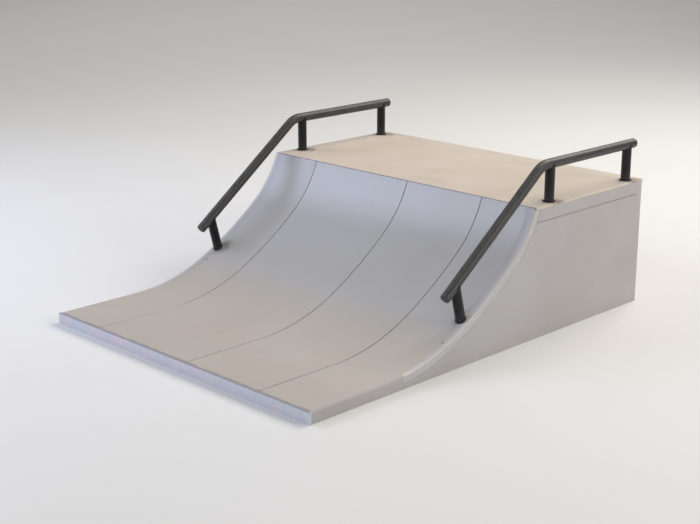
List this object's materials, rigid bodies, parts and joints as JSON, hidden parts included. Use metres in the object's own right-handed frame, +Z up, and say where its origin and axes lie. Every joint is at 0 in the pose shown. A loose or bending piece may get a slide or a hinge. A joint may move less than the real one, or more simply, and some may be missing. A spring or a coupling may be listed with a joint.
{
  "type": "quarter pipe skate ramp",
  "caption": "Small quarter pipe ramp: flat run-in, curved riding surface, level deck and a low bent tube rail along each side, on a plywood rib and timber joist frame.",
  "frame": {"origin": "on the ground, under the middle of the ramp's width and length", "axes": "+Z up, +Y from the low front edge towards the deck, +X to the rider's right"},
  "size_m": [1.8, 2.335, 0.8551],
  "materials": {
    "deck_board": "matte sand-coloured laminate",
    "running_board": "satin light grey laminate",
    "galvanised_steel": "galvanised, fine spangle",
    "coping_steel": "dull dark steel",
    "side_board": "plywood, warm grey matt paint",
    "edge_trim": "light grey moulded trim, satin",
    "plywood": "bare birch plywood",
    "timber": "planed softwood",
    "rail_paint": "dark grey powder coat on steel tube",
    "post_paint": "black satin powder coat on steel",
    "cap_plastic": "dark grey moulded plastic",
    "zinc": "zinc-plated steel"
  },
  "bodies": {
    "root": {"back_panel": "side_board", "back_panel_screws": "zinc", "base_joist_1": "timber", "base_joist_2": "timber", "centre_rib": "plywood", "coping_bar": "coping_steel", "coping_header": "timber", "deck_joist_1": "timber", "deck_joist_2": "timber", "deck_joist_3": "timber", "deck_panel": "deck_board", "deck_subfloor": "plywood", "front_bar": "galvanised_steel", "left_deck_fascia": "side_board", "left_edge_trim": "edge_trim", "left_front_base_plate": "post_paint", "left_front_post": "post_paint", "left_inner_rib": "plywood", "left_lower_base_plate": "post_paint", "left_lower_post": "post_paint", "left_outer_rib": "plywood", "left_rail_front_cap": "cap_plastic", "left_rail_rear_cap": "cap_plastic", "left_rail_tube": "rail_paint", "left_rear_base_plate": "post_paint", "left_rear_post": "post_paint", "left_side_panel": "side_board", "post_anchor_bolts": "zinc", "post_anchor_nuts": "zinc", "post_anchor_washers": "zinc", "right_deck_fascia": "side_board", "right_edge_trim": "edge_trim", "right_front_base_plate": "post_paint", "right_front_post": "post_paint", "right_inner_rib": "plywood", "right_lower_base_plate": "post_paint", "right_lower_post": "post_paint", "right_outer_rib": "plywood", "right_rail_front_cap": "cap_plastic", "right_rail_rear_cap": "cap_plastic", "right_rail_tube": "rail_paint", "right_rear_base_plate": "post_paint", "right_rear_post": "post_paint", "right_side_panel": "side_board", "running_panel_1": "running_board", "running_panel_2": "running_board", "running_panel_3": "running_board", "running_panel_4": "running_board", "transition_joist_1": "timber", "transition_joist_2": "timber", "transition_joist_3": "timber", "transition_joist_4": "timber", "transition_joist_5": "timber", "transition_joist_6": "timber", "transition_joist_7": "timber", "transition_joist_8": "timber", "underlay_lower": "plywood", "underlay_upper": "plywood"}
  },
  "joints": []
}
